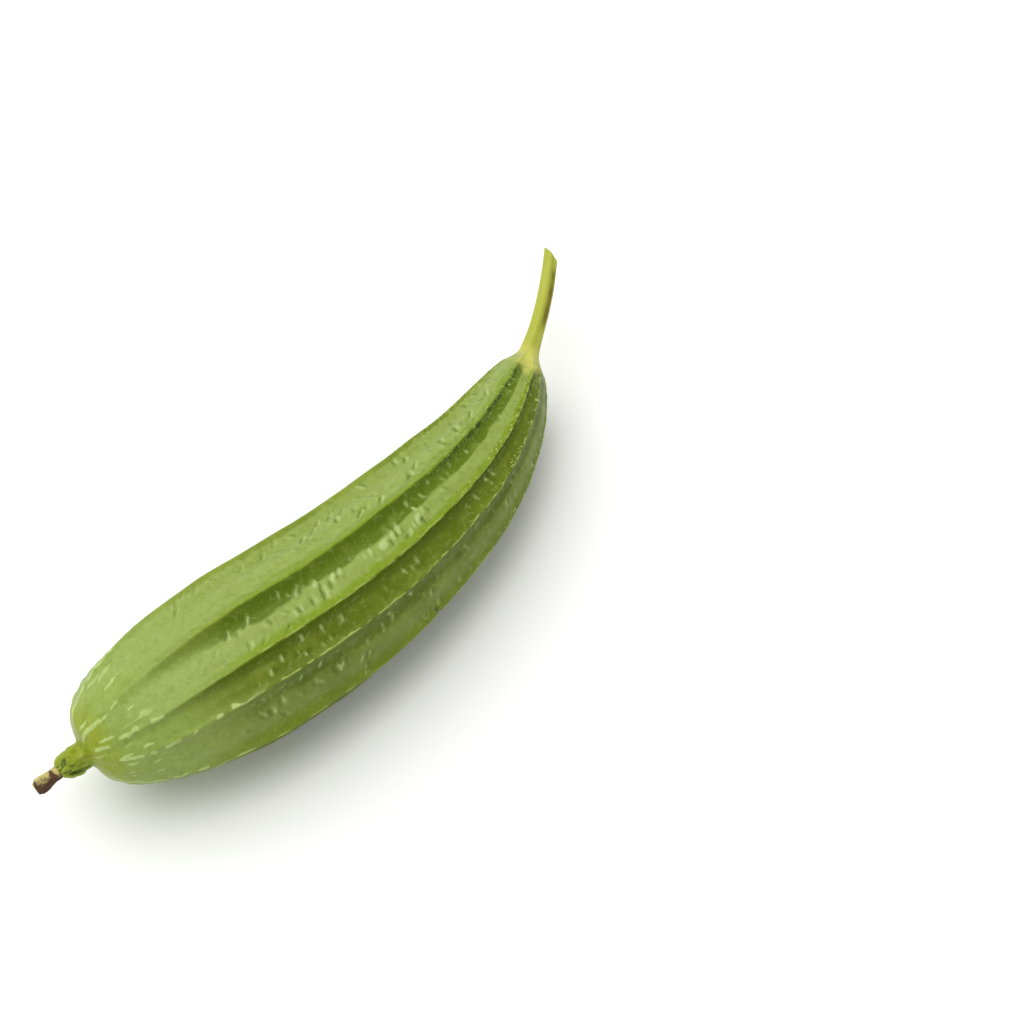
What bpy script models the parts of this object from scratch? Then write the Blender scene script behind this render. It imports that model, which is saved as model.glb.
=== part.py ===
"""Ridge gourd (angled luffa), one fruit as picked, lying on its side.

Three pieces: the ribbed fruit with its green beak, the cut stem, and the dried flower remnant on the beak.
Metres, +Z up. +X runs from the flower end to the cut stem. The origin is the bottom centre of the whole box,
on the surface that the fruit lies on.
"""

import math

import bmesh
import bpy
from mathutils import Vector, noise

# Driving dimensions
BODY_LENGTH = 0.232  # ribbed body along its curved centre line
BELLY_RADIUS = 0.0335  # over the rib crests
BELLY_AT = 0.30  # share of the body's length, from the flower end
SHOULDER_RADIUS = 0.0070  # of the body where the stem joins it
BEAK_LENGTH = 0.0115  # green neck between body and flower remnant
STEM_LENGTH = 0.053
STEM_RADIUS = 0.0031
REMNANT_LENGTH = 0.0095
REMNANT_RADIUS = 0.0030
JOINT_GAP = 0.0003  # between pieces that meet face to face

# Superellipse exponents of the body's profile, on each side of the belly
FLOWER_SIDE = (1.72, 2.9)
STEM_SIDE = (1.81, 1.48)

# Centre line in the horizontal plane: its heading at the beak, then each turn with where along the body it
# starts and ends, as shares of the body's length
BEAK_HEADING = math.radians(-11.3)
TURNS = (
    (math.radians(-2.7), -0.10, 0.15),
    (math.radians(35), 0.18, 1.24),
    (math.radians(6), 0.69, 0.97),
    (math.radians(8), 1.04, 1.24),
)

# Centre line's slope: the beak droops, and the tapering stem end lies lower than the belly
BODY_PITCH = math.radians(-2.5)
BEAK_DROOP = math.radians(14)
STEM_RISE = math.radians(6)

# Ribs
RIB_COUNT = 10
RIB_PITCH = 2 * math.pi / RIB_COUNT
RIB_DEPTH = 0.125  # crest above valley, as a share of the crest radius, where ribs are evenly spaced
CREST_ROUND = 0.07  # half width of the rounded crest, as a share of half a sector
FLANK_WIDTH = 0.30  # how fast a flank falls away, as a share of half a sector
VALLEY_BULGE = 0.20  # swelling in the middle of a valley, as a share of the rib depth
RIB_SHIFTS = (12, -3, 5, 3, 0, 0, 1, 3, 4, 15)  # each rib's place against even spacing, in degrees
RIB_TWIST = math.radians(6)  # of all ribs at the beak, gone by BELLY_AT
RIB_WANDER = math.radians(1.6)
RIB_UNEVEN = 0.018  # rise and fall of the crests, as a share of the radius
SWELL = 0.020  # slow lumps of the whole skin, as a share of the radius

# Beak
BEAK_RADIUS = 0.0031  # at its end
BEAK_KNOB = 0.0021  # swelling behind the flower remnant
BEAK_FLARE = 0.0032  # widening into the body
BEAK_KNOBS = 0.0007  # height of the small knobs
CORNER_BLEND = 0.0030  # rounding where body and beak meet

# Stem
STEM_CORNERS = 5
STEM_CORNER_HEIGHT = 0.07  # as a share of the stem's radius
STEM_TAPER = 0.10
STEM_FLARE_LENGTH = 0.0052
STEM_CUT_SLANT = 1.1  # fall of the slanting cut either side of its middle, in stem radii

# Depth to which the ribs that it lies on are pressed flat
PRESSED_DEPTH = 0.0008

# Mesh detail
RIB_POINTS = (-0.36, -0.20, -0.09, 0.0, 0.09, 0.20, 0.36, 0.5)  # places across one rib, in sectors
FRUIT_RINGS = 54
STEM_RINGS = 18
STEM_SIDES = 20
REMNANT_RINGS = 8
REMNANT_SIDES = 14
WALK_STEP = 0.0005

# Places along the centre line, in metres from the beak's end
BODY_START = BEAK_LENGTH
FRUIT_END = BEAK_LENGTH + BODY_LENGTH
STEM_START = FRUIT_END + JOINT_GAP
STEM_END = STEM_START + STEM_LENGTH
REMNANT_END = -JOINT_GAP
REMNANT_START = REMNANT_END - REMNANT_LENGTH


def smoothstep(low, high, value):
    share = min(1.0, max(0.0, (value - low) / (high - low)))
    return share * share * (3 - 2 * share)


def lump(seed, *place):
    """Smooth noise between -1 and 1, one pattern for each seed."""
    return noise.noise(Vector(place) + Vector((17.3 * seed, 5.1, 9.7)))


def body_share(s):
    """0 where the beak ends and 1 where the stem begins."""
    return (s - BODY_START) / BODY_LENGTH


# Centre line


def heading(s):
    return BEAK_HEADING + sum(turn * smoothstep(start, end, body_share(s)) for turn, start, end in TURNS)


def pitch(s):
    droop = BEAK_DROOP * (1 - smoothstep(-0.12, 0.12, body_share(s)))
    rise = STEM_RISE * smoothstep(0.80, 1.15, body_share(s))
    return BODY_PITCH + droop + rise


def tangent(s):
    flat = math.cos(pitch(s))
    return Vector((math.cos(heading(s)) * flat, math.sin(heading(s)) * flat, math.sin(pitch(s))))


def walk_centre_line():
    """Points every WALK_STEP along the centre line, from the remnant's tip to past the stem's end."""
    steps = math.ceil((STEM_END - REMNANT_START + 2 * STEM_RADIUS) / WALK_STEP)
    points = [Vector((0, 0, 0))]
    for step in range(steps):
        points.append(points[-1] + tangent(REMNANT_START + (step + 0.5) * WALK_STEP) * WALK_STEP)
    return points


CENTRE_LINE = walk_centre_line()


def centre(s):
    place = (s - REMNANT_START) / WALK_STEP
    step = min(len(CENTRE_LINE) - 2, max(0, int(place)))
    return CENTRE_LINE[step].lerp(CENTRE_LINE[step + 1], place - step)


def around(s, angle, radius):
    """A point on the section at s. Angle 0 is the top, and a quarter turn is the -Y side."""
    side = Vector((math.sin(heading(s)), -math.cos(heading(s)), 0))
    top = side.cross(tangent(s))
    return centre(s) + radius * (math.cos(angle) * top + math.sin(angle) * side)


# Fruit


def body_radius(s):
    """Radius over the crests of the body alone, as half superellipses on each side of the belly."""
    share = body_share(s)
    if share <= 0:
        return 0.0
    if share < BELLY_AT:
        outer, inner = FLOWER_SIDE
        return BELLY_RADIUS * (1 - ((BELLY_AT - share) / BELLY_AT) ** outer) ** (1 / inner)
    outer, inner = STEM_SIDE
    past = min(1.0, (share - BELLY_AT) / (1 - BELLY_AT))
    return SHOULDER_RADIUS + (BELLY_RADIUS - SHOULDER_RADIUS) * (1 - past**outer) ** (1 / inner)


def beak_radius(s):
    """Radius of the beak: a knob behind the flower remnant, and a neck that widens into the body."""
    knob = BEAK_KNOB * math.exp(-(((s - 0.45 * BEAK_LENGTH) / (0.33 * BEAK_LENGTH)) ** 2))
    return BEAK_RADIUS + knob + BEAK_FLARE * smoothstep(0.5, 1.5, s / BEAK_LENGTH)


def crest_radius(s):
    """The larger of body and beak, with a rounded corner where they meet."""
    body, beak = body_radius(s), beak_radius(s)
    return 0.5 * (body + beak + math.hypot(body - beak, CORNER_BLEND))


def rib_strength(s):
    """Ribs fade out towards the beak and thin a little at the stem."""
    share = body_share(s)
    return smoothstep(-0.02, 0.22, share) * (1 - 0.45 * smoothstep(0.80, 1.0, share))


def rib_angle(rib, s):
    """Where a rib's crest runs: unevenly spaced, twisting at the beak, and wandering a little."""
    even = (rib + 0.5) * RIB_PITCH
    shift = math.radians(RIB_SHIFTS[rib % RIB_COUNT])
    twist = RIB_TWIST * (1 - smoothstep(0, BELLY_AT, body_share(s)))
    wander = RIB_WANDER * lump(1, (rib % RIB_COUNT) * 3.7, body_share(s) * 4, 0)
    return even + shift + twist + wander


def valley_share(offset):
    """0 on a crest and 1 down in the valley, for an offset from the crest in sectors, -0.5 to 0.5."""
    away = 2 * abs(offset)
    rounded = math.hypot(away, CREST_ROUND) - CREST_ROUND
    furthest = math.hypot(1, CREST_ROUND) - CREST_ROUND
    fall = (1 - math.exp(-rounded / FLANK_WIDTH)) / (1 - math.exp(-furthest / FLANK_WIDTH))
    return fall - VALLEY_BULGE * smoothstep(0.35, 1.0, away)


def fruit_radius(s, rib, offset, angle, sector):
    """Crest radius less the fall into the valley, with uneven crests, slow swells and the beak's knobs."""
    strength = rib_strength(s)
    depth = RIB_DEPTH * math.sqrt(sector / RIB_PITCH)
    valley = valley_share(offset)
    across, up = math.cos(angle), math.sin(angle)
    uneven = RIB_UNEVEN * lump(2, rib * 5.3, s * 45, 0) * (1 - valley) ** 2
    swell = SWELL * lump(3, 2.2 * across, 2.2 * up, s * 32)
    knobs = BEAK_KNOBS * (1 - strength) * lump(4, 3 * across, 3 * up, s * 420)
    return crest_radius(s) * (1 + strength * (uneven + swell - depth * valley)) + knobs


def fruit_point(s, column):
    """The surface at a column of the mesh: which rib, and how far across its sector."""
    rib, slot = divmod(column, len(RIB_POINTS))
    offset = RIB_POINTS[slot]
    here = rib_angle(rib, s)
    sector = rib_angle(rib + 1, s) - here if offset > 0 else here - rib_angle(rib - 1, s)
    angle = here + offset * sector
    return around(s, angle, fruit_radius(s, rib, offset, angle, sector))


def fruit_station(share):
    """Rings lie closer at the beak, where the shape changes fastest, and at the shoulder."""
    return FRUIT_END * (0.72 * share**1.35 + 0.28 * (1 - (1 - share) ** 2.2))


# Stem


def stem_point(s, column):
    """A five-cornered stalk that widens where it grows from the fruit, cut off at a slant."""
    angle = 2 * math.pi * column / STEM_SIDES
    along = s - STEM_START
    flare = (0.97 * crest_radius(FRUIT_END) - STEM_RADIUS) * math.exp(-((along / STEM_FLARE_LENGTH) ** 1.25))
    taper = 1 - STEM_TAPER * smoothstep(0.2, 1.0, along / STEM_LENGTH)
    corners = STEM_CORNER_HEIGHT * math.cos(STEM_CORNERS * angle) * smoothstep(0.05, 0.25, along / STEM_LENGTH)
    radius = (STEM_RADIUS * taper + flare) * (1 + corners)
    slant = STEM_CUT_SLANT * radius * math.sin(angle) * smoothstep(0.74, 1.0, along / STEM_LENGTH)
    return around(s - slant, angle, radius)


# Flower remnant


def remnant_point(s, column):
    """The withered flower: a narrow neck on the beak, then a swollen, broken-off tip."""
    angle = 2 * math.pi * column / REMNANT_SIDES
    along = (REMNANT_END - s) / REMNANT_LENGTH
    swollen = 0.82 + 0.22 * smoothstep(0.25, 0.75, along) - 0.30 * smoothstep(0.80, 1.0, along)
    uneven = 1 + 0.13 * lump(5, 1.6 * math.cos(angle), 1.6 * math.sin(angle), along * 2.5)
    return around(s, angle, REMNANT_RADIUS * swollen * uneven)


# Building


def tube(name, sides, rings, place):
    """A closed unit cylinder cut into rings, each of its points then moved to place(share, column)."""
    mesh = bpy.data.meshes.new(name)
    shape = bmesh.new()
    bmesh.ops.create_cone(shape, cap_ends=True, segments=sides, radius1=1, radius2=1, depth=1)
    upright = [edge for edge in shape.edges if abs(edge.verts[0].co.z - edge.verts[1].co.z) > 0.5]
    bmesh.ops.subdivide_edges(shape, edges=upright, cuts=rings - 2)
    for corner in shape.verts:
        column = round(math.atan2(corner.co.y, corner.co.x) * sides / (2 * math.pi)) % sides
        corner.co = place(corner.co.z + 0.5, column)
    shape.to_mesh(mesh)
    shape.free()
    mesh.shade_smooth()
    mesh.set_sharp_from_angle(angle=math.radians(50))
    made = bpy.data.objects.new(name, mesh)
    bpy.context.collection.objects.link(made)
    return made


def press_flat(fruit):
    """Cuts the lowest ribs off level, where the fruit's weight presses them flat."""
    shape = bmesh.new()
    shape.from_mesh(fruit.data)
    floor = min(corner.co.z for corner in shape.verts) + PRESSED_DEPTH
    everything = shape.verts[:] + shape.edges[:] + shape.faces[:]
    bmesh.ops.bisect_plane(
        shape, geom=everything, dist=1e-7, plane_co=(0, 0, floor), plane_no=(0, 0, -1), clear_outer=True
    )
    rim = [edge for edge in shape.edges if edge.is_boundary]
    bmesh.ops.holes_fill(shape, edges=rim, sides=0)
    shape.to_mesh(fruit.data)
    shape.free()


def give_material(piece, name, colour, roughness):
    """A plain dielectric skin."""
    made = bpy.data.materials.new(name)
    made.use_nodes = True
    shader = made.node_tree.nodes["Principled BSDF"]
    shader.inputs["Base Color"].default_value = (*colour, 1)
    shader.inputs["Roughness"].default_value = roughness
    shader.inputs["Metallic"].default_value = 0
    piece.data.materials.append(made)


def make_fruit():
    def place(share, column):
        return fruit_point(fruit_station(share), column)

    made = tube("fruit", RIB_COUNT * len(RIB_POINTS), FRUIT_RINGS, place)
    press_flat(made)
    give_material(made, "gourd_skin", (0.22, 0.33, 0.06), 0.4)
    return made


def make_stem():
    def place(share, column):
        return stem_point(STEM_START + STEM_LENGTH * share**1.25, column)

    made = tube("stem", STEM_SIDES, STEM_RINGS, place)
    give_material(made, "stem_green", (0.48, 0.56, 0.08), 0.5)
    return made


def make_remnant():
    def place(share, column):
        return remnant_point(REMNANT_START + REMNANT_LENGTH * share, column)

    made = tube("flower_remnant", REMNANT_SIDES, REMNANT_RINGS, place)
    give_material(made, "dried_flower", (0.16, 0.09, 0.03), 0.8)
    return made


def set_down(pieces):
    """Hangs the pieces on one empty, moved so that the origin is the bottom centre of their box."""
    gourd = bpy.data.objects.new("gourd", None)
    bpy.context.collection.objects.link(gourd)
    corners = [corner.co for piece in pieces for corner in piece.data.vertices]
    for axis in range(3):
        low = min(corner[axis] for corner in corners)
        high = max(corner[axis] for corner in corners)
        gourd.location[axis] = -low if axis == 2 else -(low + high) / 2
    for piece in pieces:
        piece.parent = gourd


def main():
    for old in list(bpy.data.objects):
        bpy.data.objects.remove(old)
    set_down([make_fruit(), make_stem(), make_remnant()])


main()
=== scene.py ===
"""Ridge gourd, the looks: fine skin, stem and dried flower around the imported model.

Metres, +Z up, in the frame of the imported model. Each piece is grown along one centre line, s metres from
the beak's end, from a bmesh cylinder whose points are moved to the surface. Angle 0 on a section is the top,
and a quarter turn is the -Y side.
"""

import math

import bmesh
import bpy
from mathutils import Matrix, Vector, noise


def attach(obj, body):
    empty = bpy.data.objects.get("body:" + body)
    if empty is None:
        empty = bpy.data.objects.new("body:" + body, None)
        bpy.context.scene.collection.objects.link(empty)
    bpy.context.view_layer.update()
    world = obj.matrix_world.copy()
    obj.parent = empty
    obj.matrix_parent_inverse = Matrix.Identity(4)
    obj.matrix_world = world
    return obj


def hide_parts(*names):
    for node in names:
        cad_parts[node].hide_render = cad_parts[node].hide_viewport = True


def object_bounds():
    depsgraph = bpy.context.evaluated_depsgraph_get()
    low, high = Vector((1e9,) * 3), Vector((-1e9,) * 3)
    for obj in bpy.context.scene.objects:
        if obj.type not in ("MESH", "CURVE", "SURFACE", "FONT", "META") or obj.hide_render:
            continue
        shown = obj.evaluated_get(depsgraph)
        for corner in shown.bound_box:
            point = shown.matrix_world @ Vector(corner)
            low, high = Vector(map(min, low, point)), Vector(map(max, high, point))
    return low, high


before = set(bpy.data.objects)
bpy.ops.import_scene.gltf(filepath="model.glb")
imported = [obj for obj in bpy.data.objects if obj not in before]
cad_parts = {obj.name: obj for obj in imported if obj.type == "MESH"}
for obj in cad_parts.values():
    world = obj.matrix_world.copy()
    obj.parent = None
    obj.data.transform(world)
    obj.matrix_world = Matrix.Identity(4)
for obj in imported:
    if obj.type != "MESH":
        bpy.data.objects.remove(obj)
CAD_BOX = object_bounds()

MM = 0.001

# The gourd's form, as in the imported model
BODY_LENGTH = 0.232
BELLY_RADIUS = 0.0335
BELLY_AT = 0.30
SHOULDER_RADIUS = 0.0070
BEAK_LENGTH = 0.0115
STEM_LENGTH = 0.053
STEM_RADIUS = 0.0031
REMNANT_LENGTH = 0.0095
REMNANT_RADIUS = 0.0030
JOINT_GAP = 0.0003
# Outer and inner power of the body's outline on each side of the belly
FLOWER_SIDE = (1.72, 2.9)
STEM_SIDE = (1.81, 1.48)
BEAK_HEADING = math.radians(-11.3)
# Bends of the centre line seen from above: angle, and the shares of the body's length where each starts and
# ends
TURNS = (
    (math.radians(-2.7), -0.10, 0.15),
    (math.radians(35), 0.18, 1.24),
    (math.radians(6), 0.69, 0.97),
    (math.radians(8), 1.04, 1.24),
)
BODY_PITCH = math.radians(-2.5)
BEAK_DROOP = math.radians(14)
STEM_RISE = math.radians(6)
RIB_COUNT = 10
RIB_PITCH = 2 * math.pi / RIB_COUNT
RIB_DEPTH = 0.125
CREST_ROUND = 0.07
FLANK_WIDTH = 0.30
VALLEY_BULGE = 0.20
RIB_SHIFTS = (12, -3, 5, 3, 0, 0, 1, 3, 4, 15)  # degrees away from even spacing
RIB_TWIST = math.radians(6)
RIB_WANDER = math.radians(1.6)
RIB_UNEVEN = 0.018
SWELL = 0.020
BEAK_RADIUS = 0.0031
BEAK_KNOB = 0.0021
BEAK_FLARE = 0.0032
BEAK_KNOBS = 0.0007
CORNER_BLEND = 0.0030
STEM_CORNERS = 5
STEM_CORNER_HEIGHT = 0.07
STEM_TAPER = 0.10
STEM_FLARE_LENGTH = 0.0052
STEM_CUT_SLANT = 1.1

# Fine relief of the skin
RIB_LEAN = 0.6 * MM  # the ribs lean over: steep on one side, full on the other
LINE_HEIGHT = 0.12 * MM  # the hard thread along each crest
LINE_WIDTH = 0.35 * MM
CREST_JOG = 0.45 * MM  # sideways jogs of a crest
DASH_HEIGHT = 0.20 * MM  # raised pale dashes where the ribs break up at the flower end
DASH_WIDTH = 0.72 * MM
RIPPLE_HEIGHT = 0.42 * MM  # glossy ripples across the deepest valley
RIPPLE_PITCH = 3.4 * MM
RIPPLE_WIDTH = 1.2 * MM
PUCKER_HEIGHT = 0.24 * MM  # small puckers all over the valleys: a dent with a raised lip
PUCKER_SPACING = 5.0 * MM
PUCKER_WIDTH = 1.2 * MM
PUCKER_LENGTH = 2.2 * MM
GROOVE_DEPTH = 0.35 * MM  # scratch beside the crests at the stem end
NICK_DEPTH = 1.0 * MM  # a small break in one rib
NICK_PLACE = (2, 0.563)  # rib, and share of the body's length
RIPPLED_RIB = 9  # the valley past this rib is the deepest, and rippled
BEAK_ROUNDING = 3.5 * MM  # length of the beak's rounded end
BEAK_TIP_INSET = 2.2 * MM  # how far the rounding draws in the tip
BEAK_LOBES = 1.1 * MM  # broad lumps on the beak
BEAK_BUDS = 0.30 * MM  # and small ones
BEAK_HOLLOWS = 0.4 * MM
CREASE_DEPTH = 0.8 * MM  # the fold along the beak
CREASE_ANGLE = 1.15
CREASE_TWIST = 45  # radians a metre
YELLOW_ANGLE = 0.35  # where the stem's yellow runs furthest onto the shoulder
YELLOW_REACH = 5 * MM
YELLOW_TONGUE = 9 * MM  # how much further it runs there
STEM_TUCK = 0.4 * MM  # the stem's hidden foot is this much thinner than the fruit around it
BRUISE_ANGLE = 0.85

# How each rib differs from the next: how dark the painted shade on its steep flank is, how dark the painted
# shade over the sector past it is, how pale the thread on its crest is, and how far along the body its dashes
# reach
FLANK_SHADES = (1.0, 0.75, 0.8, 0.8, 0.8, 0.8, 0.8, 0.5, 0.15, 1.0)
SHADES = (1.0, 0.55, 0.70, 0.6, 0.5, 0.5, 0.4, 0.2, 0.0, 0.0)
THREADS = (0.75, 1.0, 1.0, 0.7, 0.6, 0.6, 0.6, 0.5, 0.3, 0.15)
DASH_REACHES = (0.13, 0.25, 0.27, 0.20, 0.16, 0.22, 0.18, 0.2, 0.14, 0.05)

# Of these marks, fall and shaded carry painted shade, rise painted light, wax a painted sheen as well as the
# bloom, pucker a painted highlight and painted shade, and dark painted shade in hollows
SKIN_MARKS = (
    "fall",
    "rise",
    "thread",
    "dash",
    "dark",
    "wax_and_sheen",
    "pucker",
    "grain",
    "shaded",
    "flower_end",
    "beak",
    "stem_end",
)

# Mesh detail
POINTS_PER_RIB = 26
FRUIT_RINGS = 360
STEM_POINTS_PER_RIB = 12
STEM_RINGS = 110
REMNANT_POINTS_PER_RIB = 8
REMNANT_RINGS = 60
RIB_CROWDING = 1.35  # above 1, a rib's points lie closest together at its crest
# The fruit's rings lie closer together towards both ends: weight and power of their spacing from each
BEAK_RINGS = (0.72, 1.35)
STEM_END_RINGS = (0.28, 2.2)
SHARP_EDGE = math.radians(60)
WALK_STEP = 0.0005

BODY_START = BEAK_LENGTH
FRUIT_END = BEAK_LENGTH + BODY_LENGTH
STEM_START = FRUIT_END + JOINT_GAP
STEM_END = STEM_START + STEM_LENGTH
REMNANT_END = -JOINT_GAP
REMNANT_START = REMNANT_END - REMNANT_LENGTH
JOINT_OVERLAP = 0.8 * MM  # how far the stem and the remnant sink into the fruit, so that no gap shows

# Camera and light
CAMERA_AZIMUTH = math.radians(-49.47)
CAMERA_ELEVATION = math.radians(60)
CAMERA_PLACE = Vector((-0.3158, -0.3421, 0.8570))
LENS = 90
SENSOR_WIDTH = 36
WORLD_STRENGTH = 0.60
KEY_PLACE = (-0.20, 0.55, 1.6)
KEY_SIZE = 2.2
KEY_POWER = 30
LIGHT_AIM = Vector((0, 0, 0.03))
FLOOR_REACH = 6


def smoothstep(low, high, value):
    """0 at low and 1 at high with soft ends. It falls where low is above high."""
    share = min(1.0, max(0.0, (value - low) / (high - low)))
    return share * share * (3 - 2 * share)


def bump(value, width):
    """1 at 0, falling away softly over the width on both sides."""
    return math.exp(-((value / width) ** 2))


def lump(seed, *place):
    """Smooth noise between -1 and 1, one pattern for each seed."""
    return noise.noise(Vector(place) + Vector((17.3 * seed, 5.1, 9.7)))


def body_share(s):
    return (s - BODY_START) / BODY_LENGTH


# Centre line


def heading(s):
    return BEAK_HEADING + sum(turn * smoothstep(start, end, body_share(s)) for turn, start, end in TURNS)


def pitch(s):
    droop = BEAK_DROOP * (1 - smoothstep(-0.12, 0.12, body_share(s)))
    rise = STEM_RISE * smoothstep(0.80, 1.15, body_share(s))
    return BODY_PITCH + droop + rise


def tangent(s):
    flat = math.cos(pitch(s))
    return Vector((math.cos(heading(s)) * flat, math.sin(heading(s)) * flat, math.sin(pitch(s))))


def walk_centre_line():
    """Points every WALK_STEP along the centre line, from the remnant's tip to past the stem's end."""
    steps = math.ceil((STEM_END - REMNANT_START + 2 * STEM_RADIUS) / WALK_STEP)
    points = [Vector((0, 0, 0))]
    for step in range(steps):
        points.append(points[-1] + tangent(REMNANT_START + (step + 0.5) * WALK_STEP) * WALK_STEP)
    return points


CENTRE_LINE = walk_centre_line()


def centre(s):
    place = (s - REMNANT_START) / WALK_STEP
    step = min(len(CENTRE_LINE) - 2, max(0, int(place)))
    return CENTRE_LINE[step].lerp(CENTRE_LINE[step + 1], place - step)


def around(s, angle, radius):
    """The point at this angle and radius on the section at s."""
    side = Vector((math.sin(heading(s)), -math.cos(heading(s)), 0))
    top = side.cross(tangent(s))
    return centre(s) + radius * (math.cos(angle) * top + math.sin(angle) * side)


# Fruit


def body_radius(s):
    """Radius over the crests of the body alone, as half superellipses on each side of the belly."""
    share = body_share(s)
    if share <= 0:
        return 0.0
    if share < BELLY_AT:
        outer, inner = FLOWER_SIDE
        return BELLY_RADIUS * (1 - ((BELLY_AT - share) / BELLY_AT) ** outer) ** (1 / inner)
    outer, inner = STEM_SIDE
    past = min(1.0, (share - BELLY_AT) / (1 - BELLY_AT))
    return SHOULDER_RADIUS + (BELLY_RADIUS - SHOULDER_RADIUS) * (1 - past**outer) ** (1 / inner)


def beak_radius(s):
    knob = BEAK_KNOB * bump(s - 0.45 * BEAK_LENGTH, 0.33 * BEAK_LENGTH)
    return BEAK_RADIUS + knob + BEAK_FLARE * smoothstep(0.5, 1.5, s / BEAK_LENGTH)


def crest_radius(s):
    body, beak = body_radius(s), beak_radius(s)
    return 0.5 * (body + beak + math.hypot(body - beak, CORNER_BLEND))


def rib_strength(s):
    share = body_share(s)
    return smoothstep(-0.02, 0.22, share) * (1 - 0.45 * smoothstep(0.80, 1.0, share))


def rib_angle(rib, s):
    even = (rib + 0.5) * RIB_PITCH
    shift = math.radians(RIB_SHIFTS[rib % RIB_COUNT])
    twist = RIB_TWIST * (1 - smoothstep(0, BELLY_AT, body_share(s)))
    wander = RIB_WANDER * lump(1, (rib % RIB_COUNT) * 3.7, body_share(s) * 4, 0)
    return even + shift + twist + wander


def valley_share(offset):
    """0 on a crest and 1 down in the valley, for an offset from the crest in sectors, -0.5 to 0.5."""
    away = 2 * abs(offset)
    rounded = math.hypot(away, CREST_ROUND) - CREST_ROUND
    furthest = math.hypot(1, CREST_ROUND) - CREST_ROUND
    fall = (1 - math.exp(-rounded / FLANK_WIDTH)) / (1 - math.exp(-furthest / FLANK_WIDTH))
    return fall - VALLEY_BULGE * smoothstep(0.35, 1.0, away)


def plain_radius(s, rib, offset, angle, sector):
    """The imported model's surface: crest radius less the fall into the valley, uneven crests and swells."""
    strength = rib_strength(s)
    depth = RIB_DEPTH * math.sqrt(sector / RIB_PITCH)
    valley = valley_share(offset)
    across, up = math.cos(angle), math.sin(angle)
    uneven = RIB_UNEVEN * lump(2, rib * 5.3, s * 45, 0) * (1 - valley) ** 2
    swell = SWELL * lump(3, 2.2 * across, 2.2 * up, s * 32)
    knobs = BEAK_KNOBS * (1 - strength) * lump(4, 3 * across, 3 * up, s * 420)
    return crest_radius(s) * (1 + strength * (uneven + swell - depth * valley)) + knobs


def dash_share(s, rib, arc):
    """Where a raised pale dash runs, 0 to 1: the ribs break up into dashes towards the flower end."""
    share = body_share(s)
    reach = DASH_REACHES[rib]
    jog = 1.8 * MM * lump(7, rib * 2.3, s / (9 * MM), 0) + 0.5 * MM * lump(26, rib, s / (2 * MM), 0)
    wide = DASH_WIDTH * (1 + 0.55 * lump(17, rib * 1.9, s / (2.5 * MM), 0))
    broken = smoothstep(-0.22, -0.02, lump(6, rib * 4.1, s / (4.6 * MM), 0))
    dash = bump(arc - jog, wide) * broken * smoothstep(reach + 0.03, reach - 0.05, share)
    stray = lump(8, arc / (1.4 * MM) + rib * 9, s / (6 * MM), 0)
    strays = smoothstep(0.34, 0.52, stray) * smoothstep(0.14, 0.04, share)
    return max(dash, 0.85 * strays) * smoothstep(-0.01, 0.02, share)


def ripple_share(s, from_rib, width):
    """Glossy bumps, above 0, in an uneven row along the deepest valley, each beside a dent, below 0."""
    share = body_share(s)
    row = 0.38 + 0.22 * smoothstep(0.34, 0.64, share)
    phase = s / RIPPLE_PITCH + 0.9 * lump(27, s / (7 * MM), 0, 0)
    number = round(phase)
    off_row = (from_rib - row) * width + 4.5 * MM * lump(28, number * 3.3, 0, 0)
    slant = (phase - number) * RIPPLE_PITCH + 0.4 * off_row
    slant += 0.6 * MM * lump(29, off_row / (1.5 * MM), number, 0)
    tall = 0.65 + 1.1 * lump(30, number * 5.7, 0, 0)
    blob = bump(slant, RIPPLE_WIDTH) * bump(off_row, 1.6 * MM)
    dent = bump(slant - 1.6 * MM, 0.7 * RIPPLE_WIDTH) * bump(off_row, 1.9 * MM)
    where = smoothstep(0.34, 0.41, share) * smoothstep(0.67, 0.60, share)
    return tall * (blob - 0.8 * dent) * where


def pucker_share(s, angle, radius):
    """Puckers here and there, longer across than along: below 0 in the dent and above 0 on its lip."""
    place = Vector((radius * math.cos(angle), radius * math.sin(angle), s)) / PUCKER_SPACING
    _, points = noise.voronoi(place)
    away = (place - points[0]) * PUCKER_SPACING
    turn = noise.noise(points[0] * 3.1)
    bend = 0.5 * MM * lump(33, away.x / MM, away.y / MM, s / (2 * MM))
    across = math.hypot(away.x, away.y) / (PUCKER_LENGTH * (1 + turn))
    along = (away.z + 2 * turn * (away.x + away.y) + bend) / PUCKER_WIDTH
    chosen = smoothstep(0.0, 0.12, abs(turn)) * math.copysign(1, turn)
    return 2.3 * chosen * along * math.exp(-(along**2) - across**2)


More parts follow.
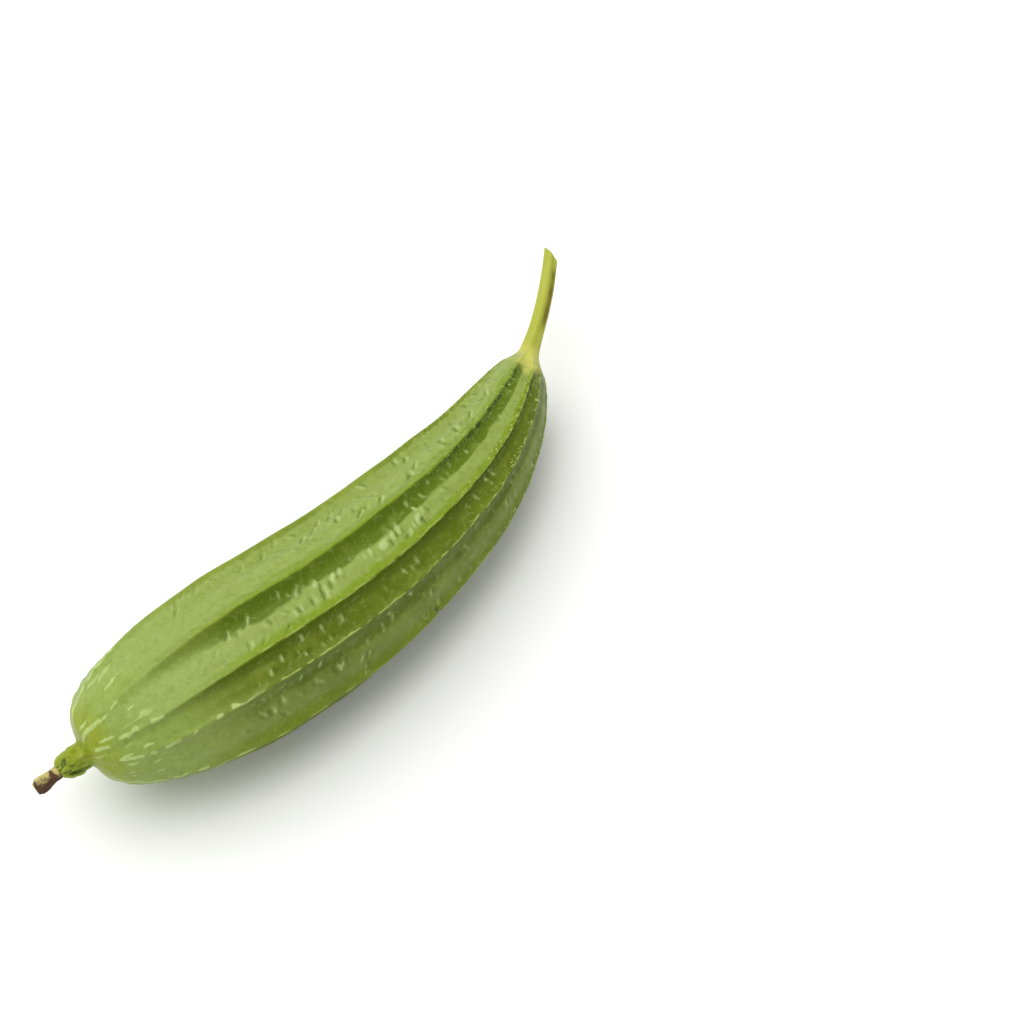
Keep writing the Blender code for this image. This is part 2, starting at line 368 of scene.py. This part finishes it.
def skin(s, rib, offset, angle, sector):
    """The finished surface: its radius, and values for SKIN_MARKS, which the material reads."""
    radius = plain_radius(s, rib, offset, angle, sector)
    strength = rib_strength(s)
    share = body_share(s)
    valley = valley_share(offset)
    arc = offset * sector * radius
    ridge = rib % RIB_COUNT
    across, up = math.cos(angle), math.sin(angle)
    jog = CREST_JOG * (lump(11, ridge * 7.7, s / (6 * MM), 0) + 0.5 * lump(19, ridge, s / (1.5 * MM), 0))
    from_crest = arc - jog

    # Bands beside the crests: painted shade on the steep flank, painted light on the other, and the pale
    # thread
    started = smoothstep(0.10, 0.34, share)
    ragged = 0.09 * lump(20, arc / (3 * MM), s / (6 * MM), ridge) + 0.09 * lump(21, ridge, s / (15 * MM), 0)
    widen = 0.08 * FLANK_SHADES[ridge] * smoothstep(0.36, 0.60, share)
    # Painted shade on the flank that falls away from the light
    fall = smoothstep(0.05 * MM, 0.5 * MM, from_crest) * started
    fall *= smoothstep(0.46, 0.28, offset + ragged - widen)
    fall *= FLANK_SHADES[ridge] * smoothstep(0.50, 0.44, offset)
    # Painted light on the flank that faces the light
    rise = smoothstep(0.24, 0.08, -offset + ragged) * smoothstep(0.4 * MM, 0.0, from_crest) * started
    thread = bump(from_crest, LINE_WIDTH) * smoothstep(0.10, 0.28, share) * THREADS[ridge]
    thread *= smoothstep(-0.45, 0.10, lump(12, ridge * 3.3, s / (4 * MM), 0))
    dash = dash_share(s, ridge, arc)

    # Ripples and puckers
    before = ridge if offset > 0 else (ridge - 1) % RIB_COUNT
    ripple = 0.0
    if before == RIPPLED_RIB:
        ripple = ripple_share(s, offset % 1, sector * radius)
    patch = smoothstep(-0.42, 0.18, lump(9, 2 * across, 2 * up, s / (22 * MM)))
    clear = smoothstep(0.13, 0.27, share) * (1 - bump(arc, 1.8 * MM)) * (1 - smoothstep(0.9, 1.0, share))
    pucker = pucker_share(s, angle, radius) * patch * clear * (1 - min(1.0, 2 * abs(ripple)))

    # Scratches and specks at the stem end
    past_middle = smoothstep(0.60, 0.78, share)
    scratched = smoothstep(-0.35, 0.0, lump(22, ridge * 2.9, s / (2.5 * MM), 0)) * past_middle
    groove = bump(from_crest - 0.8 * MM, 0.6 * MM) * scratched
    groove *= smoothstep(0.985, 0.95, share) * FLANK_SHADES[ridge]
    grain = (bump(from_crest, 1.9 * MM) * past_middle + 0.12) * smoothstep(0.99, 0.96, share)
    nick_rib, nick_share = NICK_PLACE
    nick = 0.0
    if ridge == nick_rib:
        past = (share - nick_share) * BODY_LENGTH - 0.4 * arc
        nick = bump(past, 0.8 * MM) * smoothstep(4 * MM, 1.5 * MM, abs(arc))

    # Beak
    on_beak = 1 - smoothstep(0.0, 0.05, share)
    crease = bump(math.remainder(angle - CREASE_ANGLE - CREASE_TWIST * s, 2 * math.pi), 0.20)
    crease *= bump(s - 0.50 * BEAK_LENGTH, 4.5 * MM)
    lobes = BEAK_LOBES * lump(13, 1.5 * across, 1.5 * up, s / (5.5 * MM))
    buds = BEAK_BUDS * lump(23, 4 * across, 4 * up, s / (2.2 * MM))
    hollows = smoothstep(0.22, 0.45, lump(31, 3.2 * across, 3.2 * up, s / (2.6 * MM)))
    hollows *= smoothstep(0.01, -0.02, share)
    rounding = BEAK_TIP_INSET * (1 - math.sqrt(1 - (1 - min(1.0, s / BEAK_ROUNDING)) ** 2))

    radius += LINE_HEIGHT * thread * strength + DASH_HEIGHT * dash + RIPPLE_HEIGHT * ripple
    radius += PUCKER_HEIGHT * pucker
    radius -= RIB_LEAN * math.sin(2 * math.pi * offset) * strength * smoothstep(1.0, 0.85, share)
    radius -= NICK_DEPTH * nick + GROOVE_DEPTH * groove
    radius += on_beak * (lobes + buds) - CREASE_DEPTH * crease - BEAK_HOLLOWS * hollows - rounding

    # Yellow from the stem, and wax bloom with a painted sheen in the valleys
    tongue = 0.24 + 0.26 * smoothstep(-12 * MM, 0.0, s - FRUIT_END)
    toward = bump(math.remainder(angle - YELLOW_ANGLE, 2 * math.pi), tongue)
    reach = YELLOW_REACH + YELLOW_TONGUE * toward + 2 * MM * lump(32, 4 * across, 4 * up, s / (3 * MM))
    # Partly wax bloom and partly a painted sheen: less where painted shade lies, and filling the flank where
    # its painted shade is weak
    wax_and_sheen = valley * smoothstep(0.0, 0.14, share) * (1 - 0.5 * SHADES[before])
    if offset > 0:
        wax_and_sheen = max(wax_and_sheen, 0.85 * (1 - FLANK_SHADES[ridge]) * smoothstep(0.03, 0.10, offset))
    marks = {
        # Painted shade on the steep flank
        "fall": fall,
        # Painted light on the other flank
        "rise": rise,
        "thread": thread,
        "dash": dash,
        # Painted shade in the beak's fold and pits, and in the scratches and the nick, where the broken skin
        # is partly darker too
        "dark": max(nick, groove, crease, 0.9 * hollows),
        "wax_and_sheen": wax_and_sheen,
        # Relief of the puckers and ripples, which the material turns into painted highlight and painted shade
        "pucker": 0.8 * pucker + 1.5 * ripple,
        "grain": grain,
        # Painted shade over the sectors on the side away from the light
        "shaded": SHADES[before] * smoothstep(0.04, 0.38, share),
        "flower_end": smoothstep(0.32, 0.04, share),
        "beak": smoothstep(0.055, 0.005, share),
        "stem_end": (0.4 + 0.6 * toward) * smoothstep(-reach, 0.0, s - FRUIT_END),
    }
    return radius, [marks[name] for name in SKIN_MARKS]


# Building


def across_rib(slot, per_rib):
    """Offset of one of a rib's columns in sectors, closest together at the crest."""
    place = slot / per_rib - 0.5 + 1 / per_rib
    return math.copysign(0.5 * abs(2 * place) ** RIB_CROWDING, place)


def section_column(s, column, per_rib):
    """(rib, offset, angle, sector) of a column of the mesh on the section at s."""
    rib, slot = divmod(column, per_rib)
    offset = across_rib(slot, per_rib)
    here = rib_angle(rib, s)
    sector = rib_angle(rib + 1, s) - here if offset > 0 else here - rib_angle(rib - 1, s)
    return rib, offset, here + offset * sector, sector


def tube(name, per_rib, rings, marks, place):
    """A closed unit cylinder cut into rings. Each point is then moved to where place(share, column) says, and
    keeps its place on the gourd as if that were straight, and the values for the marks, as attributes."""
    sides = RIB_COUNT * per_rib
    mesh = bpy.data.meshes.new(name)
    shape = bmesh.new()
    bmesh.ops.create_cone(shape, cap_ends=True, segments=sides, radius1=1, radius2=1, depth=1)
    upright = [edge for edge in shape.edges if abs(edge.verts[0].co.z - edge.verts[1].co.z) > 0.5]
    bmesh.ops.subdivide_edges(shape, edges=upright, cuts=rings - 2)
    # A new layer makes the earlier ones' handles stale, so all are looked up once the last is there
    shape.verts.layers.float_vector.new("straight")
    for mark in marks:
        shape.verts.layers.float.new(mark)
    straight = shape.verts.layers.float_vector["straight"]
    layers = [shape.verts.layers.float[mark] for mark in marks]
    for corner in shape.verts:
        column = round(math.atan2(corner.co.y, corner.co.x) * sides / (2 * math.pi)) % sides
        s, angle, radius, values = place(corner.co.z + 0.5, column)
        corner.co = around(s, angle, radius)
        corner[straight] = Vector((radius * math.cos(angle), radius * math.sin(angle), s))
        for layer, value in zip(layers, values):
            corner[layer] = value
    shape.to_mesh(mesh)
    shape.free()
    mesh.shade_smooth()
    mesh.set_sharp_from_angle(angle=SHARP_EDGE)
    made = bpy.data.objects.new(name, mesh)
    bpy.context.collection.objects.link(made)
    return made


def make_fruit():
    beak_weight, beak_power = BEAK_RINGS
    stem_weight, stem_power = STEM_END_RINGS

    def place(share, column):
        s = FRUIT_END * (beak_weight * share**beak_power + stem_weight * (1 - (1 - share) ** stem_power))
        rib, offset, angle, sector = section_column(s, column, POINTS_PER_RIB)
        radius, values = skin(s, rib, offset, angle, sector)
        return s, angle, radius, values

    return tube("gourd_fruit", POINTS_PER_RIB, FRUIT_RINGS, SKIN_MARKS, place)


def make_stem():
    start = FRUIT_END - JOINT_OVERLAP

    def place(share, column):
        s = start + (STEM_END - start) * share
        rib, offset, angle, sector = section_column(FRUIT_END, column, STEM_POINTS_PER_RIB)
        along = s - FRUIT_END
        base, _ = skin(FRUIT_END, rib, offset, angle, sector)
        flare = math.exp(-((max(0.0, along) / STEM_FLARE_LENGTH) ** 1.25))
        taper = 1 - STEM_TAPER * smoothstep(0.2, 1.0, along / STEM_LENGTH)
        rise = smoothstep(0.05, 0.25, along / STEM_LENGTH)
        corners = STEM_CORNER_HEIGHT * math.cos(STEM_CORNERS * angle) * rise
        fibres = 0.03 * lump(14, 6 * math.cos(angle), 6 * math.sin(angle), s / (14 * MM)) * rise
        swell = 0.05 * lump(15, 1, 1, s / (9 * MM)) * rise
        stalk = STEM_RADIUS * taper * (1 + corners + fibres + swell)
        radius = stalk + (base - stalk) * flare
        if along < 0:
            radius -= STEM_TUCK
        slant = STEM_CUT_SLANT * radius * math.sin(angle) * smoothstep(0.74, 1.0, along / STEM_LENGTH)
        bruise = 1.2 * bump(math.remainder(angle - BRUISE_ANGLE, 2 * math.pi), 0.36)
        bruise *= smoothstep(0.28, 0.45, along / STEM_LENGTH) * smoothstep(0.98, 0.80, along / STEM_LENGTH)
        bruise *= 0.8 + 0.4 * lump(24, 0, 0, s / (5 * MM))
        yellow = bump(math.remainder(angle - YELLOW_ANGLE, 2 * math.pi), 0.55)
        green = smoothstep(8 * MM, 1 * MM, along) * (1 - yellow)
        return s - slant, angle, radius, (bruise, green)

    return tube("gourd_stem", STEM_POINTS_PER_RIB, STEM_RINGS, ("bruise", "green"), place)


def make_remnant():
    end = JOINT_OVERLAP

    def place(share, column):
        s = REMNANT_START + (end - REMNANT_START) * share
        angle = 2 * math.pi * column / (RIB_COUNT * REMNANT_POINTS_PER_RIB)
        along = (REMNANT_END - s) / REMNANT_LENGTH
        across, up = math.cos(angle), math.sin(angle)
        swollen = 0.82 + 0.22 * smoothstep(0.25, 0.75, along) - 0.30 * smoothstep(0.80, 1.0, along)
        uneven = 1 + 0.13 * lump(5, 1.6 * across, 1.6 * up, along * 2.5)
        shrivel = 0.25 * MM * lump(16, 4 * across, 4 * up, along * 5)
        # Paler on one side as painted light and darker on the other as painted shade, and paler at the joint
        # and where it broke off, with a dark ring near each end
        pale_and_painted_light = 0.30 + 0.55 * math.cos(angle + 1.0) + 0.4 * bump(along, 0.08) - 0.5 * bump(along - 0.2, 0.07)
        pale_and_painted_light += 0.6 * smoothstep(0.96, 1.0, along) - 0.5 * bump(along - 0.9, 0.08)
        return s, angle, REMNANT_RADIUS * swollen * uneven + shrivel, (pale_and_painted_light,)

    return tube("gourd_flower_remnant", REMNANT_POINTS_PER_RIB, REMNANT_RINGS, ("pale_and_painted_light",), place)


def set_down(pieces):
    """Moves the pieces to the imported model's place, and flattens what would pass its box or the floor."""
    low, high = CAD_BOX
    corners = [corner.co for piece in pieces for corner in piece.data.vertices]
    own_low = Vector([min(corner[axis] for corner in corners) for axis in range(3)])
    own_high = Vector([max(corner[axis] for corner in corners) for axis in range(3)])
    shift = (low + high - own_low - own_high) / 2
    shift.z = high.z - own_high.z
    for piece in pieces:
        for corner in piece.data.vertices:
            moved = corner.co + shift
            corner.co = [min(high[axis], max(low[axis], moved[axis])) for axis in range(3)]


# Materials

SKIN_GREEN = "#6E7F20"
SKIN_PALE_GREEN = "#80902E"
FOOT_YELLOW = "#C6C55C"
STALK_GREEN = "#979F32"
STALK_PALE_GREEN = "#B2B546"
BRUISE_BROWN = "#6E6412"
SHOULDER_GREEN = "#8D9C4C"
PETAL_BROWN = "#4A2E10"
PETAL_STRAW = "#B3A662"
PAPER_WHITE = "#F4F4F2"
GRAIN_HEIGHT = 0.4 * MM
# Clouds of noise in the skin, by the size of their lumps. The real grain is under 0.5 mm, which is too fine
# to show, so the last cloud is drawn coarser.
SKIN_CLOUDS = (("broad", 26 * MM), ("patchy", 7 * MM), ("mottled", 2.4 * MM), ("grainy", 1.1 * MM))
# The stalk's real fibres are about 0.2 mm wide, which is too fine to show, so they are drawn coarser
FIBRE_WIDTH = 0.909 * MM
FIBRE_LENGTH = 15.15 * MM
BLOTCH_SIZE = 1.111 * MM  # blotches on the dried flower
# Coats of colour over the green: mark, value where it starts, value where it is full, share there, colour
SKIN_COATS = (
    # Wax bloom with a painted sheen, greying the valleys
    ("wax_and_sheen", 0.30, 0.80, 1.15, "#899B49"),
    # Painted light on the lit flank beside each crest
    ("rise", 0.0, 1.0, 1.1, "#758C16"),
    ("flower_end", 0.0, 1.0, 0.85, "#8BA04E"),
    # Painted shade on the steep flank beside each crest
    ("fall", 0.0, 1.0, 1.3, "#566A02"),
    # Painted shade over the sectors away from the light
    ("shaded", 0.0, 1.0, 1.0, "#586802"),
    # Painted shade in the dents of the puckers and beside the ripples
    ("pucker", -0.06, -0.62, 0.80, "#4A6206"),
    # Painted highlight on the lips of the puckers and on the ripples
    ("pucker", 0.10, 0.80, 0.90, "#ABBE78"),
    ("beak", 0.0, 1.0, 1.1, "#8A9822"),
    ("stem_end", 0.0, 1.0, 1.1, FOOT_YELLOW),
    ("dash", 0.08, 0.60, 1.0, "#ACC074"),
    ("thread", 0.15, 0.85, 0.90, "#AAB95C"),
    # Painted shade in the beak's fold and pits, the scratches and the nick
    ("dark", 0.10, 0.85, 1.0, "#34480A"),
)
# Fine specks: cloud, value where they start, value where they are full, share away from the crests, share
# along them at the stem end, colour
SKIN_SPECKS = (
    ("mottled", 0.50, 0.30, 0.22, 0.50, "#566A10"),
    ("mottled", 0.54, 0.70, 0.20, 0.25, "#A4B468"),
    ("grainy", 0.58, 0.66, 0.0, 0.85, "#B9C470"),
    ("grainy", 0.42, 0.34, 0.0, 0.85, "#445808"),
)


def linear(hex_colour):
    """(red, green, blue, 1) in linear light from an sRGB hex colour."""
    parts = [int(hex_colour[start : start + 2], 16) / 255 for start in (1, 3, 5)]
    return (*[part / 12.92 if part <= 0.04045 else ((part + 0.055) / 1.055) ** 2.4 for part in parts], 1)


def add(tree, kind, settings=(), inputs=(), links=()):
    """A new node: settings by name, input values by name or number, and links from (node, output)."""
    made = tree.nodes.new(kind)
    for name, value in dict(settings).items():
        setattr(made, name, value)
    for socket, value in dict(inputs).items():
        made.inputs[socket].default_value = value
    for socket, (source, output) in dict(links).items():
        tree.links.new(source.outputs[output], made.inputs[socket])
    return made


def material(name):
    made = bpy.data.materials.new(name)
    made.use_nodes = True
    made.node_tree.nodes.clear()
    return made, made.node_tree


def gourd_skin():
    """Fresh gourd skin: a waxy cuticle over soft green flesh. A wax bloom with a painted sheen greys the
    hollows, painted shade darkens the steep flank of each rib and the sectors away from the light, painted
    light yellows the other flank, puckers and ripples get a painted highlight and painted shade, the beak's
    fold and pits are painted dark as shade, and the corky crests are pale."""
    made, tree = material("waxy_gourd_skin")
    straight = add(tree, "ShaderNodeAttribute", {"attribute_name": "straight"})
    clouds = {}
    for name, size in SKIN_CLOUDS:
        lumps = {"Scale": 1 / size, "Detail": 4.0, "Roughness": 0.6}
        clouds[name] = add(tree, "ShaderNodeTexNoise", {}, lumps, {"Vector": (straight, "Vector")})
    smooth, colour_mix = {"interpolation_type": "SMOOTHSTEP"}, {"data_type": "RGBA"}
    limits = {"From Min": 0.36, "From Max": 0.64}
    paler = add(tree, "ShaderNodeMapRange", smooth, limits, {"Value": (clouds["broad"], 0)})
    colours = {6: linear(SKIN_GREEN), 7: linear(SKIN_PALE_GREEN)}
    layer = add(tree, "ShaderNodeMix", colour_mix, colours, {0: (paler, 0)})
    limits = {"From Min": 0.28, "From Max": 0.62, "To Min": 0.55}
    uneven = add(tree, "ShaderNodeMapRange", smooth, limits, {"Value": (clouds["patchy"], 0)})
    marks = {name: add(tree, "ShaderNodeAttribute", {"attribute_name": name}) for name in SKIN_MARKS}
    for name, low, high, most, colour in SKIN_COATS:
        limits = {"From Min": low, "From Max": high, "To Max": most}
        share = add(tree, "ShaderNodeMapRange", smooth, limits, {"Value": (marks[name], "Fac")})
        worn = add(tree, "ShaderNodeMath", {"operation": "MULTIPLY"}, links={0: (share, 0), 1: (uneven, 0)})
        layer = add(tree, "ShaderNodeMix", colour_mix, {7: linear(colour)}, {0: (worn, 0), 6: (layer, 2)})
    for cloud, low, high, least, most, colour in SKIN_SPECKS:
        limits = {"From Min": low, "From Max": high}
        speck = add(tree, "ShaderNodeMapRange", smooth, limits, {"Value": (clouds[cloud], 0)})
        limits = {"To Min": least, "To Max": most}
        dense = add(tree, "ShaderNodeMapRange", {}, limits, {"Value": (marks["grain"], "Fac")})
        share = add(tree, "ShaderNodeMath", {"operation": "MULTIPLY"}, links={0: (speck, 0), 1: (dense, 0)})
        layer = add(tree, "ShaderNodeMix", colour_mix, {7: linear(colour)}, {0: (share, 0), 6: (layer, 2)})
    both = {0: (clouds["mottled"], 0), 1: (clouds["grainy"], 0)}
    relief = add(tree, "ShaderNodeMath", {"operation": "ADD"}, links=both)
    raised = {"Strength": 0.45, "Distance": GRAIN_HEIGHT}
    fine = add(tree, "ShaderNodeBump", {}, raised, {"Height": (relief, 0)})
    limits = {"From Min": 0.3, "From Max": 0.7, "To Min": 0.30, "To Max": 0.50}
    dull = add(tree, "ShaderNodeMapRange", smooth, limits, {"Value": (clouds["patchy"], 0)})
    shader = add(
        tree,
        "ShaderNodeBsdfPrincipled",
        {},
        {"IOR": 1.45, "Specular IOR Level": 0.20, "Coat Weight": 0.05, "Coat Roughness": 0.2},
        {"Base Color": (layer, 2), "Roughness": (dull, 0), "Normal": (fine, 0)},
    )
    add(tree, "ShaderNodeOutputMaterial", links={"Surface": (shader, 0)})
    return made


def stem_rind():
    """Green stalk: fibrous rind, dull, yellower than the skin, bruised brown along one side."""
    made, tree = material("fibrous_stem_rind")
    straight = add(tree, "ShaderNodeAttribute", {"attribute_name": "straight"})
    bruise = add(tree, "ShaderNodeAttribute", {"attribute_name": "bruise"})
    green = add(tree, "ShaderNodeAttribute", {"attribute_name": "green"})
    split = add(tree, "ShaderNodeSeparateXYZ", links={0: (straight, "Vector")})
    drawn_out = {"Scale": (1.0, 1.0, FIBRE_WIDTH / FIBRE_LENGTH)}
    stretched = add(tree, "ShaderNodeMapping", {}, drawn_out, {"Vector": (straight, "Vector")})
    threads = {"Scale": 1 / FIBRE_WIDTH, "Detail": 3.0}
    fibre = add(tree, "ShaderNodeTexNoise", {}, threads, {"Vector": (stretched, 0)})
    smooth, colour_mix = {"interpolation_type": "SMOOTHSTEP"}, {"data_type": "RGBA"}
    colours = {6: linear(STALK_GREEN), 7: linear(STALK_PALE_GREEN)}
    layer = add(tree, "ShaderNodeMix", colour_mix, colours, {0: (fibre, 0)})
    limits = {"From Min": FRUIT_END + 12 * MM, "From Max": FRUIT_END + 2 * MM}
    foot = add(tree, "ShaderNodeMapRange", smooth, limits, {"Value": (split, 2)})
    for share, colour in (
        ((foot, 0), FOOT_YELLOW),
        ((bruise, "Fac"), BRUISE_BROWN),
        ((green, "Fac"), SHOULDER_GREEN),
    ):
        layer = add(tree, "ShaderNodeMix", colour_mix, {7: linear(colour)}, {0: share, 6: (layer, 2)})
    raised = {"Strength": 0.4, "Distance": GRAIN_HEIGHT}
    fine = add(tree, "ShaderNodeBump", {}, raised, {"Height": (fibre, 0)})
    shader = add(
        tree,
        "ShaderNodeBsdfPrincipled",
        {},
        {"Roughness": 0.48, "IOR": 1.45, "Specular IOR Level": 0.3},
        {"Base Color": (layer, 2), "Normal": (fine, 0)},
    )
    add(tree, "ShaderNodeOutputMaterial", links={"Surface": (shader, 0)})
    return made


def dried_flower():
    """Withered petals: papery and brittle, dark brown with pale straw where they broke off. Paler on one side
    as painted light and darker on the other as painted shade.
    """
    made, tree = material("withered_flower")
    straight = add(tree, "ShaderNodeAttribute", {"attribute_name": "straight"})
    pale_and_painted_light = add(tree, "ShaderNodeAttribute", {"attribute_name": "pale_and_painted_light"})
    blotches = {"Scale": 1 / BLOTCH_SIZE, "Detail": 4.0}
    blotch = add(tree, "ShaderNodeTexNoise", {}, blotches, {"Vector": (straight, "Vector")})
    total = {"operation": "MULTIPLY_ADD"}
    uneven = add(tree, "ShaderNodeMath", total, {1: 0.9}, {0: (blotch, 0), 2: (pale_and_painted_light, "Fac")})
    smooth, limits = {"interpolation_type": "SMOOTHSTEP"}, {"From Min": 0.70, "From Max": 1.25}
    share = add(tree, "ShaderNodeMapRange", smooth, limits, {"Value": (uneven, 0)})
    colours = {6: linear(PETAL_BROWN), 7: linear(PETAL_STRAW)}
    base = add(tree, "ShaderNodeMix", {"data_type": "RGBA"}, colours, {0: (share, 0)})
    raised = {"Strength": 0.6, "Distance": GRAIN_HEIGHT}
    fine = add(tree, "ShaderNodeBump", {}, raised, {"Height": (blotch, 0)})
    shader = add(
        tree,
        "ShaderNodeBsdfPrincipled",
        {},
        {"Roughness": 0.7, "IOR": 1.45},
        {"Base Color": (base, 2), "Normal": (fine, 0)},
    )
    add(tree, "ShaderNodeOutputMaterial", links={"Surface": (shader, 0)})
    return made


def studio_white():
    """Matt white sweep of paper: no gloss, so that only the soft shadow shows."""
    made, tree = material("studio_paper")
    shader = add(
        tree,
        "ShaderNodeBsdfPrincipled",
        {},
        {"Base Color": linear(PAPER_WHITE), "Roughness": 0.9, "Specular IOR Level": 0.1},
    )
    add(tree, "ShaderNodeOutputMaterial", links={"Surface": (shader, 0)})
    return made


# Stage


def make_floor():
    mesh = bpy.data.meshes.new("floor")
    shape = bmesh.new()
    bmesh.ops.create_grid(shape, x_segments=1, y_segments=1, size=FLOOR_REACH)
    shape.to_mesh(mesh)
    shape.free()
    floor = bpy.data.objects.new("floor", mesh)
    bpy.context.collection.objects.link(floor)
    floor.data.materials.append(studio_white())


def make_camera():
    across = math.cos(CAMERA_ELEVATION)
    back = Vector(
        (math.sin(CAMERA_AZIMUTH) * across, -math.cos(CAMERA_AZIMUTH) * across, math.sin(CAMERA_ELEVATION))
    )
    data = bpy.data.cameras.new("camera")
    data.lens = LENS
    data.sensor_width = SENSOR_WIDTH
    camera = bpy.data.objects.new("camera", data)
    bpy.context.collection.objects.link(camera)
    camera.location = CAMERA_PLACE
    camera.rotation_mode = "QUATERNION"
    camera.rotation_quaternion = (-back).to_track_quat("-Z", "Y")
    bpy.context.scene.camera = camera


def softbox(name, place, size, power):
    data = bpy.data.lights.new(name, "AREA")
    data.shape = "DISK"
    data.size = size
    data.energy = power
    light = bpy.data.objects.new(name, data)
    bpy.context.collection.objects.link(light)
    light.location = place
    light.rotation_mode = "QUATERNION"
    light.rotation_quaternion = (LIGHT_AIM - Vector(place)).to_track_quat("-Z", "Y")


def make_light():
    world = bpy.data.worlds.new("studio")
    world.use_nodes = True
    background = world.node_tree.nodes["Background"]
    background.inputs["Color"].default_value = (1, 1, 1, 1)
    background.inputs["Strength"].default_value = WORLD_STRENGTH
    bpy.context.scene.world = world
    softbox("key", KEY_PLACE, KEY_SIZE, KEY_POWER)
    bpy.context.scene.view_settings.view_transform = "Standard"


def main():
    make_camera()
    fruit, stem, remnant = make_fruit(), make_stem(), make_remnant()
    set_down([fruit, stem, remnant])
    for piece, node, slot, finish in (
        (fruit, "fruit", "skin", gourd_skin()),
        (stem, "stem", "stem", stem_rind()),
        (remnant, "flower_remnant", "dried_flower", dried_flower()),
    ):
        piece.data.materials.append(finish)
        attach(piece, "root")
        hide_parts(node)
    make_floor()
    make_light()


main()
